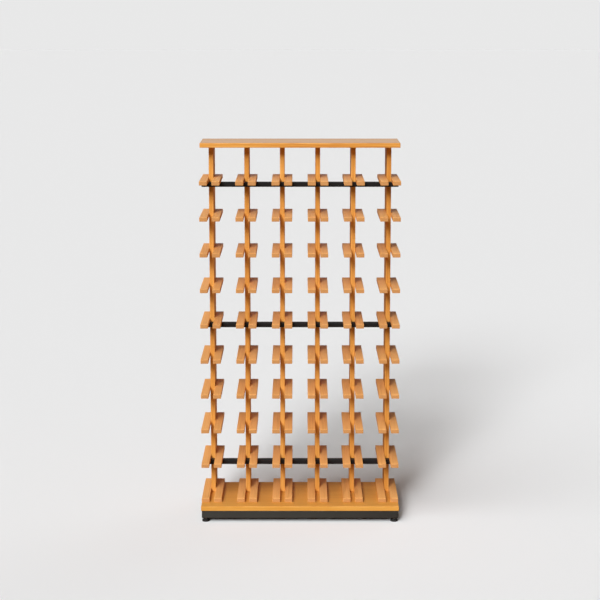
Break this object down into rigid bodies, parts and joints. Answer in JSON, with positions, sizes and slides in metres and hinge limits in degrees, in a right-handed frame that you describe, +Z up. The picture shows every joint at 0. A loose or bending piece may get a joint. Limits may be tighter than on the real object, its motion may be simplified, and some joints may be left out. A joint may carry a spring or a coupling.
{
  "type": "wine rack",
  "caption": "Free-standing open wooden wine rack: upright boards with pairs of horizontal rests for lying bottles, steel tie bars, top and base boards, steel base frame with screw feet.",
  "frame": {"origin": "centre of the footprint, on the floor", "axes": "+Z up, +X to the right seen from the front, -Y towards the front, where the bottles go in"},
  "size_m": [0.64, 0.3, 1.217],
  "materials": {
    "wood": "satin clear-lacquered warm orange wood",
    "black_steel": "satin black paint",
    "grey_steel": "satin dark grey paint",
    "black_plastic": "matte black moulding",
    "zinc_steel": "bright zinc plating"
  },
  "bodies": {
    "rack": {"top_board": "wood", "base_board": "wood", "base_frame": "grey_steel", "tie_bar_row_1": "black_steel", "tie_bar_row_5": "black_steel", "tie_bar_row_9": "black_steel", "upright_1": "wood", "upright_2": "wood", "upright_3": "wood", "upright_4": "wood", "upright_5": "wood", "upright_6": "wood", "rest_row_1_upright_1_left": "wood", "rest_row_1_upright_1_right": "wood", "rest_row_5_upright_1_left": "wood", "rest_row_5_upright_1_right": "wood", "rest_row_9_upright_1_left": "wood", "rest_row_9_upright_1_right": "wood", "rest_row_1_upright_2_left": "wood", "rest_row_1_upright_2_right": "wood", "rest_row_5_upright_2_left": "wood", "rest_row_5_upright_2_right": "wood", "rest_row_9_upright_2_left": "wood", "rest_row_9_upright_2_right": "wood", "rest_row_1_upright_3_left": "wood", "rest_row_1_upright_3_right": "wood", "rest_row_5_upright_3_left": "wood", "rest_row_5_upright_3_right": "wood", "rest_row_9_upright_3_left": "wood", "rest_row_9_upright_3_right": "wood", "rest_row_1_upright_4_left": "wood", "rest_row_1_upright_4_right": "wood", "rest_row_5_upright_4_left": "wood", "rest_row_5_upright_4_right": "wood", "rest_row_9_upright_4_left": "wood", "rest_row_9_upright_4_right": "wood", "rest_row_1_upright_5_left": "wood", "rest_row_1_upright_5_right": "wood", "rest_row_5_upright_5_left": "wood", "rest_row_5_upright_5_right": "wood", "rest_row_9_upright_5_left": "wood", "rest_row_9_upright_5_right": "wood", "rest_row_1_upright_6_left": "wood", "rest_row_1_upright_6_right": "wood", "rest_row_5_upright_6_left": "wood", "rest_row_5_upright_6_right": "wood", "rest_row_9_upright_6_left": "wood", "rest_row_9_upright_6_right": "wood", "foot_insert_front_left": "zinc_steel", "foot_insert_front_right": "zinc_steel", "foot_insert_back_left": "zinc_steel", "foot_insert_back_right": "zinc_steel"},
    "foot_front_left": {"foot_pad_front_left": "black_plastic"},
    "foot_screw_front_left": {"foot_stud_front_left": "zinc_steel"},
    "foot_front_right": {"foot_pad_front_right": "black_plastic"},
    "foot_screw_front_right": {"foot_stud_front_right": "zinc_steel"},
    "foot_back_left": {"foot_pad_back_left": "black_plastic"},
    "foot_screw_back_left": {"foot_stud_back_left": "zinc_steel"},
    "foot_back_right": {"foot_pad_back_right": "black_plastic"},
    "foot_screw_back_right": {"foot_stud_back_right": "zinc_steel"}
  },
  "joints": [
    {"name": "foot_height_front_left", "type": "slide", "parent": "rack", "child": "foot_front_left", "axis": [0, 0, 1], "range_m": [-0.008, 0.002]},
    {"name": "foot_turn_front_left", "type": "hinge", "parent": "foot_front_left", "child": "foot_screw_front_left", "pos_m": [-0.305, -0.135, 0.002], "axis": [0, 0, 1], "range_deg": [-2310, 580]},
    {"name": "foot_height_front_right", "type": "slide", "parent": "rack", "child": "foot_front_right", "axis": [0, 0, 1], "range_m": [-0.008, 0.002]},
    {"name": "foot_turn_front_right", "type": "hinge", "parent": "foot_front_right", "child": "foot_screw_front_right", "pos_m": [0.305, -0.135, 0.002], "axis": [0, 0, 1], "range_deg": [-2310, 580]},
    {"name": "foot_height_back_left", "type": "slide", "parent": "rack", "child": "foot_back_left", "axis": [0, 0, 1], "range_m": [-0.008, 0.002]},
    {"name": "foot_turn_back_left", "type": "hinge", "parent": "foot_back_left", "child": "foot_screw_back_left", "pos_m": [-0.305, 0.135, 0.002], "axis": [0, 0, 1], "range_deg": [-2310, 580]},
    {"name": "foot_height_back_right", "type": "slide", "parent": "rack", "child": "foot_back_right", "axis": [0, 0, 1], "range_m": [-0.008, 0.002]},
    {"name": "foot_turn_back_right", "type": "hinge", "parent": "foot_back_right", "child": "foot_screw_back_right", "pos_m": [0.305, 0.135, 0.002], "axis": [0, 0, 1], "range_deg": [-2310, 580]}
  ],
  "couplings": [
    {"joint": "foot_turn_front_left", "follows": "foot_height_front_left", "rad_per_m": 5026.5},
    {"joint": "foot_turn_front_right", "follows": "foot_height_front_right", "rad_per_m": 5026.5},
    {"joint": "foot_turn_back_left", "follows": "foot_height_back_left", "rad_per_m": 5026.5},
    {"joint": "foot_turn_back_right", "follows": "foot_height_back_right", "rad_per_m": 5026.5}
  ]
}
